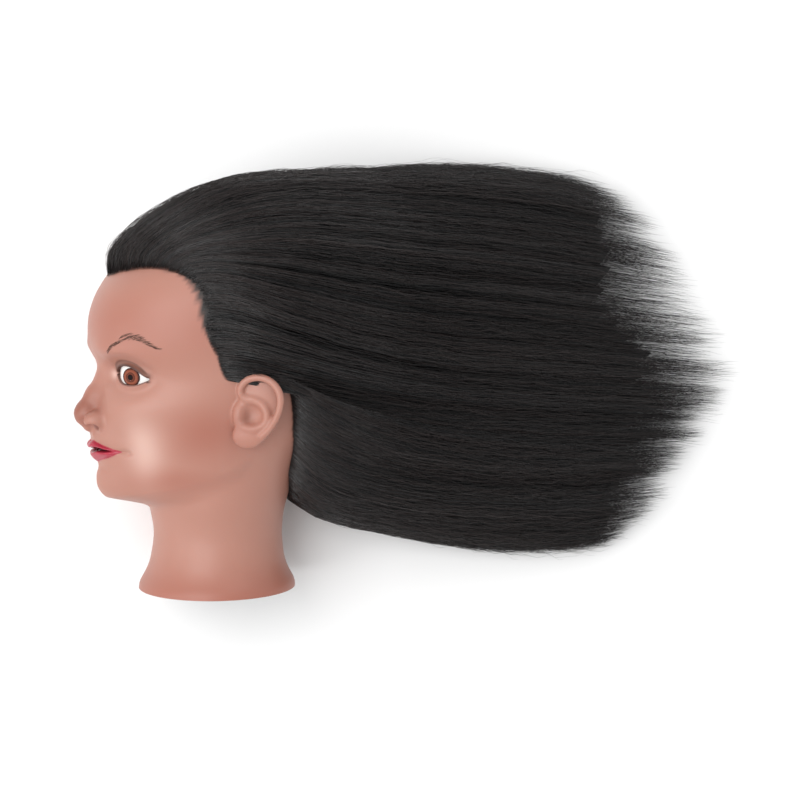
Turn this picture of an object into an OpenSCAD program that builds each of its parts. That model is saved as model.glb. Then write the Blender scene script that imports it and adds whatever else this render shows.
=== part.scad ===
// Mannequin training head for hairdressing practice.
// It lies on its right side on a bench with its long hair combed out behind it.
// The head is drawn upright (face to -X, crown to +Z, its left side to -Y) and then laid down.

/* [Head] */
// Height from the base rim to the crown
head_h = 280; // [270:1:290]
// Length of the skull from the forehead to the back
skull_l = 186; // [180:1:190]
// Width of the skull above the ears
skull_w = 148; // [142:1:150]
// Diameter of the flared rim under the neck
base_d = 110; // [106:1:112]
// Diameter of the neck where it is narrowest
neck_d = 90; // [88:1:92]
// Thickness of the moulded vinyl
wall = 4; // [3:0.5:5]

/* [Eyes] */
// Radius of the curved face of an eye
eye_r = 20; // [18:0.5:22]
// Diameter of the iris
iris_d = 12; // [10:0.5:13]
// Distance from the middle of the face to an eye
eye_side = 34; // [33:0.5:35]

/* [Ears] */
// Height of an ear
ear_h = 50; // [44:1:54]
// Width of an ear
ear_w = 35; // [30:1:38]

/* [Clamp socket] */
// Bore that slides over the post of a table clamp
socket_d = 27; // [25:0.5:28]
// Depth of the bore
socket_depth = 90; // [70:1:92]

/* [Hair] */
// Thickness of the combed hair on the scalp
root_t = 4.5; // [3.5:0.5:6]
// Reach of the combed out hair behind the head
hair_reach = 290; // [260:1:300]
// Height of the hair where it starts to lie on the bench
bend_h = 42; // [36:1:48]

/* [Resting pose] */
// Turn of the face upward from a plain side view
face_turn = 20; // [15:1:25]
// Slope of the neck, because the skull is wider than the base
crown_lift = 9; // [8:0.5:9.5]

/* [Hidden] */

$fn = 48;
gap = 0.3;

skin_colour = [0.78, 0.56, 0.47];
hair_colour = [0.10, 0.09, 0.09];

// Drawn sizes that the driving dimensions stretch
drawn_h = 280;
drawn_l = 186;
drawn_w = 148;
drawn_base = 110;
drawn_neck = 90;
kz = head_h / drawn_h;
kx = skull_l / drawn_l;
ky = skull_w / drawn_w;

// Where the middle of the base rim sits on the bench
base_at = [-146.3, -148.2, 54.5];

// ---- curves ----

function clamp01(t) = max(0, min(1, t));
function ease(t) = let (u = clamp01(t)) u * u * (3 - 2 * u);
function mix(a, b, t) = a + (b - a) * t;
function bell(d, width) = exp(-pow(d / width, 2));

// Smooth curve through stations of [place, value]
function along(st, z) =
    let (
        last = len(st) - 2,
        k = min(last, max(0, len([for (s = st) if (s[0] <= z) s]) - 1)),
        a = st[max(0, k - 1)], b = st[k], c = st[k + 1], d = st[min(last + 1, k + 2)],
        h = c[0] - b[0],
        u = clamp01((z - b[0]) / h),
        slope_b = (c[1] - a[1]) / (c[0] - a[0]),
        slope_c = (d[1] - b[1]) / (d[0] - b[0])
    )
    b[1] * (1 + 2 * u) * pow(1 - u, 2) + slope_b * h * u * pow(1 - u, 2)
    + c[1] * u * u * (3 - 2 * u) + slope_c * h * u * u * (u - 1);

// Stations of the head by height: [height, value]
face_front = [
    [50, -50], [58, -60], [63, -70], [68, -76], [74, -80], [82, -82], [92, -83], [102, -84.5],
    [112, -86], [122, -86.5], [134, -85.5], [146, -83.8], [154, -83.2], [164, -86.2], [176, -89.3],
    [186, -89.4], [197, -87.8], [208, -84], [217, -78.3], [225, -71.5], [235, -61.5], [245, -49.5],
    [255, -35], [264, -19], [272, -2], [277, 11], [280, 24]
];
skull_back = [
    [50, 52], [70, 56], [90, 63], [110, 74], [130, 84], [150, 91], [170, 95.5], [185, 96.7],
    [200, 95.5], [215, 92], [230, 86], [245, 77], [257, 66.5], [267, 54.5], [275, 40.5], [280, 26]
];
half_width = [
    [50, 42], [62, 45], [75, 50], [90, 55.5], [105, 59.5], [120, 63], [140, 67], [160, 70], [180, 73],
    [195, 74], [210, 73.3], [225, 70], [240, 63.5], [252, 55], [262, 45], [270, 34.5], [276, 24], [280, 10]
];
crown_x = 25;
widest_x = [[50, 3], [110, 6], [150, 8], [190, 10], [240, 14], [280, crown_x]];
face_point = [[50, 1.5], [90, 1.35], [110, 1.2], [150, 1.08], [180, 0.95], [280, 1]];
neck_radius = [
    [0, drawn_base / 2], [5, drawn_base / 2 - 0.4], [12, 50.8], [20, 47.6], [30, 45.8], [40, drawn_neck / 2],
    [52, 46.2], [66, 49], [80, 51], [100, 53], [130, 56]
];
neck_x = [[0, 0], [24, 0.5], [40, 1], [66, 1], [110, 6]];

// 0 on the neck and 1 on the head; the border runs along the jaw and fades at the nape
function on_head(turn, z, inner = 0) =
    let (
        back = (1 + cos(turn)) / 2,
        border = along([[0, 62], [0.38, 71], [0.55, 80], [0.75, 66], [1, 52]], back),
        width = along([[0, 9], [0.4, 14], [0.6, 22], [0.8, 52], [1, 70]], back)
    )
    ease((z - border - inner) / width);

// Stretch of the neck sizes by the driving diameters
function neck_scale(z) = mix(base_d / drawn_base, neck_d / drawn_neck, ease(z / 24));

// Point of the smooth head, drawn size, with the surface pulled in by "inset"
function plain_point(turn, z, inset = 0) =
    let (
        inner = inset > 0,
        s = inner ? ease((z - 80) / 34) : on_head(turn, z),
        slim = inner ? 1 - inset / 74 : 1,
        top = 280 - inset,
        zs = inner ? min(280, z < 190 ? z : 190 + (z - 190) * 90 / (top - 190)) : z,
        deeper = inner ? 14 * (1 - ease((z - 175) / 30)) : 0,
        c = mix(along(neck_x, z), along(widest_x, zs), s),
        rn = along(neck_radius, z) * neck_scale(z) - inset,
        front = mix(rn, (along(widest_x, zs) - along(face_front, zs)) * slim * kx - deeper, s),
        rear = mix(rn, (along(skull_back, zs) - along(widest_x, zs)) * slim * kx, s),
        side = mix(rn, along(half_width, zs) * slim * ky, s),
        q = cos(turn) < 0 ? mix(1, along(face_point, zs), s) : 1,
        sn = sin(turn)
    )
    [
        c + (cos(turn) < 0 ? front : rear) * cos(turn),
        side * sign(sn) * pow(abs(sn), q),
        z * kz
    ];

// Relief of the face: how far a point stands out to -X, by half distance y and height z
nose_out = [[115, 0], [119, 4.5], [124, 10], [129, 13], [134, 11], [142, 6.6], [150, 2.6], [160, 0]];
nose_wide = [[115, 13], [124, 10.5], [130, 8.5], [142, 6.5], [160, 6]];
orbit_side = eye_side - 2;
function relief(y, z) =
    z < 66 || z > 200 ? 0 :
    along(nose_out, z) * bell(y, along(nose_wide, z)) * (z < 160 && z > 115 ? 1 : 0)
    + 5 * bell(y - 13, 5) * bell(z - 123, 5.5)
    + 4.5 * bell(y, 17) * bell(z - 106, 4.5)
    + 3.2 * bell(y, 14) * bell(z - 96.5, 4)
    - 3 * bell(y, 20) * bell(z - 101, 1.8)
    - 7.5 * bell(y - orbit_side, 15) * bell(z - 155, 10)
    + 2.5 * bell(y - 26, 16) * bell(z - 171, 6)
    + 2.5 * bell(y - 44, 14) * bell(z - 138, 14);

function skin_point(turn, z) =
    let (p = plain_point(turn, z))
    cos(turn) < 0 ? [p[0] - relief(abs(p[1]), z), p[1], p[2]] : p;

// Point of a layer that lies on the scalp
function over_scalp(turn, z, t) =
    let (p = plain_point(turn, min(z, 279)), rise = ease((z - 225) / 50), c = along(widest_x, z))
    [p[0] + t * cos(turn), p[1] + t * sin(turn), p[2] + t * rise];

// ---- solids from grids of points ----

function wrap_faces(cols, rows, first, out) = [
    for (j = [0 : rows - 2], i = [0 : cols - 1])
        let (a = first + j * cols + i, b = first + j * cols + (i + 1) % cols, c = b + cols, d = a + cols)
        each (out ? [[a, c, b], [a, d, c]] : [[a, b, c], [a, c, d]])
];
function fan_faces(cols, first, tip, out) = [
    for (i = [0 : cols - 1])
        let (a = first + i, b = first + (i + 1) % cols)
        out ? [a, tip, b] : [a, b, tip]
];

// Hollow dome: two wrapped surfaces with tips, joined along their lowest rings
module dome_shell(outside, outside_tip, inside, inside_tip) {
    cols = len(outside[0]);
    rows_out = len(outside);
    rows_in = len(inside);
    base_in = cols * rows_out;
    tips = base_in + cols * rows_in;
    polyhedron(
        concat([for (r = outside) each r], [for (r = inside) each r], [outside_tip, inside_tip]),
        concat(
            wrap_faces(cols, rows_out, 0, true),
            fan_faces(cols, cols * (rows_out - 1), tips, true),
            wrap_faces(cols, rows_in, base_in, false),
            fan_faces(cols, base_in + cols * (rows_in - 1), tips + 1, false),
            [for (i = [0 : cols - 1]) let (j = (i + 1) % cols) each [[i, j, base_in + j], [i, base_in + j, base_in + i]]]
        )
    );
}

// Closed slab between two open grids of the same size; "front" is the side that is seen
module slab(front, back) {
    rows = len(front);
    cols = len(front[0]);
    n = rows * cols;
    edge = concat(
        [for (i = [0 : cols - 2]) i],
        [for (j = [0 : rows - 2]) j * cols + cols - 1],
        [for (i = [cols - 1 : -1 : 1]) (rows - 1) * cols + i],
        [for (j = [rows - 1 : -1 : 1]) j * cols]
    );
    polyhedron(
        concat([for (r = front) each r], [for (r = back) each r]),
        concat(
            [for (j = [0 : rows - 2], i = [0 : cols - 2])
                let (a = j * cols + i, b = a + 1, c = b + cols, d = a + cols)
                each [[a, c, b], [a, d, c], [n + a, n + b, n + c], [n + a, n + c, n + d]]],
            [for (k = [0 : len(edge) - 1])
                let (a = edge[k], b = edge[(k + 1) % len(edge)])
                each [[a, b, n + b], [a, n + b, n + a]]]
        )
    );
}

// Angles round the head, closer together on the face
head_cols = 60;
turns = [for (i = [0 : head_cols - 1]) let (a = i * 360 / head_cols) a + 26 * sin(a)];

// Heights, closer together on the face
skin_levels = concat(
    [0, 6, 12, 18, 26, 38, 50, 58],
    [for (z = [63 : 4 : 170]) z],
    [for (z = [176 : 9 : 258]) z],
    [264, 269, 273, 276.5, 279]
);
inner_levels = [0, 5, 14, 26, 50, 80, 92, 103, 114, 135, 160, 178, 192, 208, 224, 239, 252, 262, 270];
scalp_levels = [for (z = inner_levels) if (z >= 178) z];

// Turns the upright head over onto its right side
module laid_down() {
    translate(base_at) rotate([crown_lift, 0, 0]) rotate([-90, 0, 0]) rotate([0, 0, face_turn]) children();
}

// ---- head ----

ear_at = [11, 0, 131];
rim_r = 3;
function ear_rim(a) = [0.5 * ear_w * cos(a) * 0.88, 0, 0.5 * ear_h * sin(a) * 0.9 + 1];

// How far the rear edge of the free left ear and of the pressed right ear stands off
free = 14;
pressed = 2;

// Ear drawn standing out to -Y, "stand" is how far its rear edge stands off
module ear(stand) {
    for (a = [-100 : 26 : 160]) hull() {
        for (b = [a, a + 26]) {
            p = ear_rim(b);
            translate([p[0], -stand * (0.45 + 0.55 * (p[0] / ear_w + 0.5)), p[2]]) sphere(rim_r, $fn = 8);
        }
    }
    hull() {
        translate([2, -0.4 * stand, 1]) scale([ear_w * 0.42, 2.4, ear_h * 0.42]) sphere(1, $fn = 14);
        translate([-2, 7, 0]) scale([ear_w * 0.28, 2, ear_h * 0.3]) sphere(1, $fn = 14);
    }
    hull() {
        translate([-4, -0.45 * stand, -0.42 * ear_h]) scale([5, 2.4, 5.5]) sphere(1, $fn = 12);
        translate([-5, 4, -0.28 * ear_h]) scale([5, 2.4, 5.5]) sphere(1, $fn = 12);
    }
}

function ear_place(side) = [ear_at[0], side * (plain_point(85, ear_at[2])[1]), ear_at[2] * kz];

module head_skin() {
    color(skin_colour) laid_down() difference() {
        union() {
            dome_shell(
                [for (z = skin_levels) [for (t = turns) skin_point(t, z)]],
                [crown_x, 0, head_h],
                [for (z = inner_levels) [for (t = turns) plain_point(t, z, wall)]],
                [crown_x, 0, head_h - wall]
            );
            translate(ear_place(-1)) ear(free);
            translate(ear_place(1)) mirror([0, 1, 0]) ear(pressed);
        }
        for (side = [-1, 1]) eye_place(side) translate([-gap, 0, 0])
            eye_turned(28) cap_profile(eye_r + gap, eye_cap_h + 2 * gap, 56);
    }
}

module foam_core() {
    color("ivory") laid_down() union() {
        intersection() {
            translate([16, 0, 190 * kz]) scale([66 * kx, 60 * ky, 78 * kz]) sphere(1);
            translate([-100, -100, 122 * kz]) cube([200, 200, 200]);
        }
        translate([0, 0, core_top + gap]) cylinder(r = core_r, h = 122 * kz - core_top + 4);
    }
}

module root_backing() {
    near = wall + 0.6;
    far = wall + 2;
    color("wheat") laid_down() dome_shell(
        [for (z = scalp_levels) [for (t = turns) plain_point(t, z, near)]],
        [crown_x, 0, head_h - near - 1],
        [for (z = scalp_levels) [for (t = turns) plain_point(t, z, far)]],
        [crown_x, 0, head_h - far - 1]
    );
}

// ---- neck ----

core_top = 100;
core_r = 35;
plate_t = 4;
rib_t = 3;
rib_count = 8;
sleeve_t = 2;
sleeve_r = socket_d / 2 + sleeve_t;
tube_r = sleeve_r + 2.6;
screw_at = 29;
screw_d = 4;
screw_l = 20;
head_d = 8;
head_t = 2.4;

// Four places between the ribs, on the screw circle
module at_screws() {
    for (i = [0 : 3]) rotate([0, 0, (i + 0.75) * 90]) translate([screw_at, 0, 0]) children();
}

module neck_core() {
    color("white") laid_down() difference() {
        union() {
            translate([0, 0, plate_t]) cylinder(r = tube_r, h = core_top - plate_t);
            translate([0, 0, plate_t]) cylinder(r = core_r + 8, h = plate_t);
            translate([0, 0, core_top - plate_t]) cylinder(r = core_r, h = plate_t);
            for (i = [0 : rib_count - 1]) rotate([0, 0, i * 360 / rib_count])
                translate([tube_r - 1, -rib_t / 2, 2 * plate_t - 1])
                    cube([core_r - tube_r, rib_t, core_top - 3 * plate_t + 2]);
            at_screws() translate([0, 0, plate_t]) cylinder(d = screw_d + 5, h = screw_l);
        }
        cylinder(r = sleeve_r, h = core_top - plate_t);
        at_screws() cylinder(d = screw_d, h = screw_l);
    }
}

module clamp_sleeve() {
    color("dimgray") laid_down() difference() {
        cylinder(r = sleeve_r, h = socket_depth + sleeve_t);
        translate([0, 0, -1]) cylinder(d = socket_d, h = socket_depth + 1);
    }
}

module base_cap() {
    color("black") laid_down() difference() {
        cylinder(r = base_d / 2 - wall - 2, h = plate_t);
        translate([0, 0, -1]) cylinder(r = sleeve_r, h = plate_t + 2);
        at_screws() translate([0, 0, -1]) {
            cylinder(d = screw_d, h = plate_t + 2);
            cylinder(d = head_d + 1, h = head_t + 1);
        }
    }
}

module base_screws() {
    color("silver") laid_down() at_screws() difference() {
        union() {
            translate([0, 0, head_t]) cylinder(d = screw_d, h = screw_l - head_t - 1);
            translate([0, 0, 0.2]) cylinder(d = head_d, h = head_t - 0.2);
        }
        translate([-0.5, -head_d / 4, -1]) cube([1, head_d / 2, 2]);
        translate([-head_d / 4, -0.5, -1]) cube([head_d / 2, 1, 2]);
    }
}

// ---- eyes ----

eye_cap_h = 8;
eye_gaze = 34;
eye_front = [-68.2, eye_side + 1.7, 155];
pocket_d = iris_d + 0.6;
pocket_depth = 1.6;

// Moves an eye drawn looking to -X, with its front at the origin, into the face
module eye_place(side) {
    translate([eye_front[0] * kx, side * eye_front[1], eye_front[2] * kz])
        rotate([0, 0, -side * eye_gaze]) children();
}

// Depth below the front of a ball at distance r from its axis
function ball_depth(ball, r) = ball - sqrt(ball * ball - r * r);
pocket_x = ball_depth(eye_r, pocket_d / 2);
eye_shell = 3;

// Turns a profile of [distance from the axis, depth] about the line of sight
module eye_turned(sides = 96) {
    rotate([0, 90, 0]) rotate_extrude($fn = sides) children();
}

// Half section of a ball cap, front at the origin, depth along +Y
module cap_profile(ball, depth, sides = 192) {
    intersection() {
        translate([0, ball]) circle(ball, $fn = sides);
        square([2 * ball, depth]);
    }
}

module eye_white(side) {
    color("white") laid_down() eye_place(side) eye_turned() difference() {
        cap_profile(eye_r, eye_cap_h);
        translate([0, eye_r]) circle(eye_r - eye_shell, $fn = 192);
        translate([-1, -1]) square([1 + pocket_d / 2, 1 + pocket_x + pocket_depth]);
    }
}

module iris(side) {
    color("saddlebrown") laid_down() eye_place(side)
        translate([pocket_x + cornea_seat, 0, 0]) rotate([0, 90, 0]) cylinder(d = iris_d, h = pocket_depth - cornea_seat);
}

// Clear dome that fills the mouth of the pocket over the iris
cornea_r = 9;
cornea_seat = 0.5;
module cornea(side) {
    color("white", 0.4) laid_down() eye_place(side)
        translate([pocket_x + cornea_seat - ball_depth(cornea_r, iris_d / 2), 0, 0])
            eye_turned() cap_profile(cornea_r, ball_depth(cornea_r, iris_d / 2));
}

// ---- hair on the scalp ----

// Height of the hairline by angle round the head
hairline = [
    [0, 66], [45, 68], [60, 84], [68, 124], [74, 164], [100, 164], [110, 162], [122, 182],
    [134, 212], [150, 222], [165, 226], [180, 228]
];
function hairline_at(turn) = along(hairline, abs(turn > 180 ? turn - 360 : turn));
crown_z = 252;
nape_top = 165;

// Hair grows thicker toward the back, where the sections are combed together
function hair_t(turn, z) = root_t * (1 + 1.1 * ease((80 - abs(turn > 180 ? turn - 360 : turn)) / 70));

function hair_grid(from, to, low, high, t, cols = 16, rows = 8) = [
    for (j = [0 : rows]) [
        for (i = [0 : cols])
            let (
                turn = mix(from, to, i / cols),
                z = mix(low < 0 ? hairline_at(turn) : low, high, j / rows)
            )
            over_scalp(turn, z, t < 0 ? hair_t(turn, z) : t)
    ]
];

module scalp_section(from, to, low, high, cols = 16, rows = 8) {
    color(hair_colour) laid_down() slab(
        hair_grid(from + gap, to - gap, low, high - gap, -1, cols, rows),
        hair_grid(from + gap, to - gap, low, high - gap, 3 * gap, cols, rows)
    );
}

// Half angle of the front section and of the back sections
front_half = 62;
back_half = 68;

module hair_front() { scalp_section(180 - front_half, 180 + front_half, -1, crown_z, 24, 5); }
module hair_left_side() { scalp_section(180 + front_half, 360 - back_half, -1, crown_z, 10, 8); }
module hair_right_side() { scalp_section(back_half, 180 - front_half, -1, crown_z, 10, 8); }
module hair_nape() { scalp_section(-back_half, back_half, -1, nape_top, 24, 12); }

module hair_crown() {
    levels = [crown_z + gap, 260, 267, 273, 277];
    color(hair_colour) laid_down() {
        slab(
            hair_grid(-back_half + gap, back_half - gap, nape_top + gap, crown_z, -1, 18, 7),
            hair_grid(-back_half + gap, back_half - gap, nape_top + gap, crown_z, 3 * gap, 18, 7)
        );
        dome_shell(
            [for (z = levels) [for (i = [0 : 35]) over_scalp(i * 10, z, hair_t(i * 10, z))]],
            [crown_x, 0, head_h + root_t + 1],
            [for (z = levels) [for (i = [0 : 35]) over_scalp(i * 10, z, 3 * gap)]],
            [crown_x, 0, head_h + 3 * gap]
        );
    }
}

// ---- combed out hair on the bench ----

// Plan of the hair by distance behind the head: [x, low edge y, high edge y, height]
drape_x = -38;
bend_x = 28;
fall = [
    [drape_x, -92, 158, 104], [-15, -104, 158, 84], [5, -112, 158, 62], [bend_x, -120, 157, bend_h],
    [60, -126, 153, 25], [95, -128, 146, 15], [130, -124, 134, 10], [165, -112, 112, 7.5],
    [200, -84, 84, 5.5], [225, -48, 52, 4], [240, -14, 22, 3]
];
function fall_at(x, k) = along([for (s = fall) [s[0], s[k]]], x);
reach_scale = hair_reach / 290;

// Height of the hair across its width, v from 0 at the low edge to 1 at the high edge
function fall_point(x, v, top) =
    let (y = mix(fall_at(x, 1), fall_at(x, 2), v), h = fall_at(x, 3))
    [x > bend_x ? bend_x + (x - bend_x) * reach_scale : x, y, top ? 1.2 + (h - 1.2) * pow(sin(180 * v), 0.6) : 0];

module fall_slab(xs, v0, v1, cols = 10) {
    color(hair_colour) slab(
        [for (x = xs) [for (i = [0 : cols]) fall_point(x, mix(v0, v1, i / cols), true)]],
        [for (x = xs) [for (i = [0 : cols]) fall_point(x, mix(v0, v1, i / cols), false)]]
    );
}

length_xs = [for (i = [0 : 12]) bend_x + gap * 2 + i * (239 - bend_x) / 12];
part_v = 0.003;
module hair_drape() { fall_slab([for (x = [drape_x : 13 : bend_x]) x], 0.01, 0.99, 24); }
module hair_length_lower() { fall_slab(length_xs, 0.01, 0.34 - part_v, 8); }
module hair_length_middle() { fall_slab(length_xs, 0.34, 0.66, 8); }
module hair_length_upper() { fall_slab(length_xs, 0.66 + part_v, 0.99, 8); }

head_skin();
foam_core();
root_backing();
neck_core();
clamp_sleeve();
base_cap();
base_screws();
eye_white(-1);  // eye_white_left
eye_white(1);  // eye_white_right
iris(-1);  // iris_left
iris(1);  // iris_right
cornea(-1);  // cornea_left
cornea(1);  // cornea_right
hair_front();
hair_crown();
hair_left_side();
hair_right_side();
hair_nape();
hair_drape();
hair_length_upper();
hair_length_middle();
hair_length_lower();
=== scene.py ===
import math
import bpy
import numpy as np
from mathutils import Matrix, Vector
from mathutils.bvhtree import BVHTree


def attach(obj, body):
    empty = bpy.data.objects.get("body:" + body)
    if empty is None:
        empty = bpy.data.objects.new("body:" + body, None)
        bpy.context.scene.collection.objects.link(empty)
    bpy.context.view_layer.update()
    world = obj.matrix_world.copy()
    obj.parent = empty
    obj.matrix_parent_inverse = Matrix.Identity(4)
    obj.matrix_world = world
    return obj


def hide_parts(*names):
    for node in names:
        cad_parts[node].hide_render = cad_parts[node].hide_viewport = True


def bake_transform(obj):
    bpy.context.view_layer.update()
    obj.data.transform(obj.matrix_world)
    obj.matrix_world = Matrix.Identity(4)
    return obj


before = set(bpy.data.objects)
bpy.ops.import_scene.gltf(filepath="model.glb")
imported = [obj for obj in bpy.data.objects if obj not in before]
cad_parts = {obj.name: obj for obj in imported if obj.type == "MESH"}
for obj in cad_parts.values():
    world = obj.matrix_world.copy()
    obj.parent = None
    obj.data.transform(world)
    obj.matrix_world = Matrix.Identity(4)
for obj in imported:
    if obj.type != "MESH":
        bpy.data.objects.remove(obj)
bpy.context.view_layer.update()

# head frame: mm, face to -x, crown to +z, left side to -y; row frame: mm along the bench
headPose = {"turn": 20, "lift": 9, "base": (-146.3, -148.2, 54.5)}  # degrees, degrees, mm


def layDown(points):  # head frame in mm to the lying pose in metres
    turn = math.radians(headPose["turn"])
    lift = math.radians(headPose["lift"])
    x, y, z = np.moveaxis(np.asarray(points, float), -1, 0)
    along = x * math.cos(turn) - y * math.sin(turn)
    up = -(x * math.sin(turn) + y * math.cos(turn))
    laid = [along, z * math.cos(lift) - up * math.sin(lift), z * math.sin(lift) + up * math.cos(lift)]
    return (np.stack(laid, -1) + np.array(headPose["base"])) / 1000


def standUp(points):  # back from the lying pose in metres to the head frame in mm
    turn = math.radians(headPose["turn"])
    lift = math.radians(headPose["lift"])
    a, b, c = np.moveaxis(np.asarray(points, float) * 1000 - np.array(headPose["base"]), -1, 0)
    z = b * math.cos(lift) + c * math.sin(lift)
    up = -b * math.sin(lift) + c * math.cos(lift)
    x = a * math.cos(turn) - up * math.sin(turn)
    y = -a * math.sin(turn) - up * math.cos(turn)
    return np.stack([x, y, z], -1)


def ease(t):
    u = np.clip(t, 0, 1)
    return u * u * (3 - 2 * u)


def mix(a, b, t):
    return a + (b - a) * t


def bell(distance, width):
    return np.exp(-((distance / width) ** 2))


def through(stations, z):  # smooth curve through (place, value) stations
    st = np.array(stations, float)
    z = np.asarray(z, float)
    k = np.clip(np.searchsorted(st[:, 0], z, side="right") - 1, 0, len(st) - 2)
    a, b, c, d = (st[np.clip(k + o, 0, len(st) - 1)] for o in (-1, 0, 1, 2))
    h = c[..., 0] - b[..., 0]
    u = np.clip((z - b[..., 0]) / h, 0, 1)
    slopeB = (c[..., 1] - a[..., 1]) / (c[..., 0] - a[..., 0])
    slopeC = (d[..., 1] - b[..., 1]) / (d[..., 0] - b[..., 0])
    start = b[..., 1] * (1 + 2 * u) * (1 - u) ** 2 + slopeB * h * u * (1 - u) ** 2
    end = c[..., 1] * u * u * (3 - 2 * u) + slopeC * h * u * u * (u - 1)
    return start + end


def softMin(a, b, k):
    h = np.clip(0.5 + 0.5 * (b - a) / k, 0, 1)
    return mix(b, a, h) - k * h * (1 - h)


def softMax(a, b, k):
    return -softMin(-a, -b, k)


headShape = {
    "faceFront": [
        (50, -50), (58, -60), (63, -70), (68, -77), (74, -81.4), (82, -83.6), (92, -84), (102, -84),
        (112, -86), (122, -86.5), (134, -85.0), (144, -82.0), (152, -80.4), (160, -82.0), (170, -86.0),
        (180, -87.6), (190, -87.4), (199, -85.4), (208, -81.8), (217, -76.4), (225, -70.4),
        (235, -61.5), (245, -49.5), (255, -35), (264, -19), (272, -2), (277, 11), (280, 24)],
    "skullBack": [
        (50, 52), (70, 56), (90, 63), (110, 74), (130, 84), (150, 91), (170, 95.5), (185, 96.7),
        (200, 95.5), (215, 92), (230, 86), (245, 77), (257, 66.5), (267, 54.5), (275, 40.5), (280, 26)],
    "halfWidth": [
        (50, 42), (62, 45), (75, 50), (90, 55.5), (105, 59.5), (120, 63), (140, 67), (160, 70), (180, 73),
        (195, 74), (210, 73.3), (225, 70), (240, 63.5), (252, 55), (262, 45), (270, 34.5), (276, 24),
        (280, 10)],
    "widestX": [(50, 3), (110, 6), (150, 8), (190, 10), (240, 14), (280, 25)],
    "facePoint": [(50, 1.5), (90, 1.35), (110, 1.2), (150, 1.08), (180, 0.95), (280, 1)],
    "neckRadius": [
        (0, 55), (5, 54.6), (12, 50.8), (20, 47.6), (30, 45.8), (40, 45), (52, 46.2), (66, 49), (80, 51),
        (100, 53), (130, 56)],
    "neckX": [(0, 0), (24, 0.5), (40, 1), (66, 1), (110, 6)],
    "jawHeight": [(0, 60), (0.38, 70), (0.55, 80), (0.75, 66), (1, 52)],
    "jawBlend": [(0, 9), (0.4, 16), (0.6, 26), (0.8, 52), (1, 70)],
}


def plainHead(turn, z):  # point of the head without its features, for an angle in degrees and a height
    s = headShape
    cosine, sine = np.cos(np.radians(turn)), np.sin(np.radians(turn))
    back = (1 + cosine) / 2
    onHead = ease((z - through(s["jawHeight"], back)) / through(s["jawBlend"], back))
    widest = through(s["widestX"], z)
    centre = mix(through(s["neckX"], z), widest, onHead)
    neck = through(s["neckRadius"], z)
    front = mix(neck, widest - through(s["faceFront"], z), onHead)
    rear = mix(neck, through(s["skullBack"], z) - widest, onHead)
    side = mix(neck, through(s["halfWidth"], z), onHead)
    power = np.where(cosine < 0, mix(1, through(s["facePoint"], z), onHead), 1)
    x = centre + np.where(cosine < 0, front, rear) * cosine
    y = side * np.sign(sine) * np.abs(sine) ** power
    return np.stack([x, y, z + 0 * x], -1), centre


lips = {
    "gap": 102.6, "upper": 109.2, "lower": 94.4, "half": 23.5, "bowHalf": 4.6,
    "upperOut": 4.0, "lowerOut": 3.6}


def lipCurves(y):  # heights of the upper border, the gap and the lower border
    t = np.clip(y / lips["half"], 0, 1)
    gap = lips["gap"] - 0.9 * bell(y, 5) + 0.5 * bell(y - 9, 6) - 0.3 * t**2
    rise = lips["upper"] - lips["gap"] + 0.9 * bell(y - lips["bowHalf"], 3) - 0.6 * bell(y, 2.2)
    upper = gap + rise * (1 - t) ** 0.8
    lower = gap - (lips["gap"] - lips["lower"]) * (1 - t**2.0)
    return upper, gap, lower


def faceRelief(y, z):  # how far the face stands out toward -x from the smooth head, broad forms and lips
    out = -7.5 * bell(y - 32, 15) * bell(z - 155, 10.5)
    out = out - 3.0 * bell(y - 15, 5.5) * bell(z - 157, 8)
    out = out + 2.6 * bell(y - 25, 15) * bell(z - 171.5, 7)
    out = out + 3.4 * bell(y - 43, 15) * bell(z - 134, 13)
    out = out - 1.2 * bell(y - 27, 7) * bell(z - 112, 9)
    out = out + 1.5 * bell(y, 14) * bell(z - 76, 9)
    out = out - 1.2 * bell(y, 13) * bell(z - 90.5, 4)
    out = out + 2.4 * bell(y, 20) * bell(z - 107, 9)
    out = out - 1.0 * bell(y, 2.4) * ease((z - 110) / 3) * ease((120 - z) / 3)
    out = out + 0.7 * bell(y - 4.6, 2.0) * ease((z - 110) / 3) * ease((120 - z) / 3)
    upper, gap, lower = lipCurves(y)
    inUpper = np.clip((z - gap) / np.maximum(upper - gap, 0.2), 0, 1)
    inLower = np.clip((gap - z) / np.maximum(gap - lower, 0.2), 0, 1)
    fade = ease((lips["half"] + 1 - y) / 10)
    out = out + lips["upperOut"] * fade * np.abs(np.sin(math.pi * inUpper**0.62)) ** 0.75
    out = out + lips["lowerOut"] * fade * np.abs(np.sin(math.pi * inLower**0.6)) ** 0.75
    out = out - 2.0 * bell(y - 27.5, 2.6) * bell(z - 102, 2.4)
    out = out - 5.5 * bell(z - gap, 1.25) * ease((19 - y) / 10)
    out = out - 1.6 * bell(z - gap, 1.1) * ease((27 - y) / 3)
    return out * ease((z - 60) / 8) * ease((205 - z) / 10)


def ellipsoid(p, centre, radii):
    q = (p - np.array(centre, np.float32)) / np.array(radii, np.float32)
    length = np.linalg.norm(q, axis=-1)
    slope = np.linalg.norm(q / np.array(radii, np.float32), axis=-1)
    return length * (length - 1) / np.maximum(slope, 1e-6)


def stick(p, a, b, ra, rb):  # distance to a round bar from a to b that changes radius from ra to rb
    a, b = np.array(a, np.float32), np.array(b, np.float32)
    t = np.clip(((p - a) @ (b - a)) / float((b - a) @ (b - a)), 0, 1)
    return np.linalg.norm(p - a - t[..., None] * (b - a), axis=-1) - mix(ra, rb, t)


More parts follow.
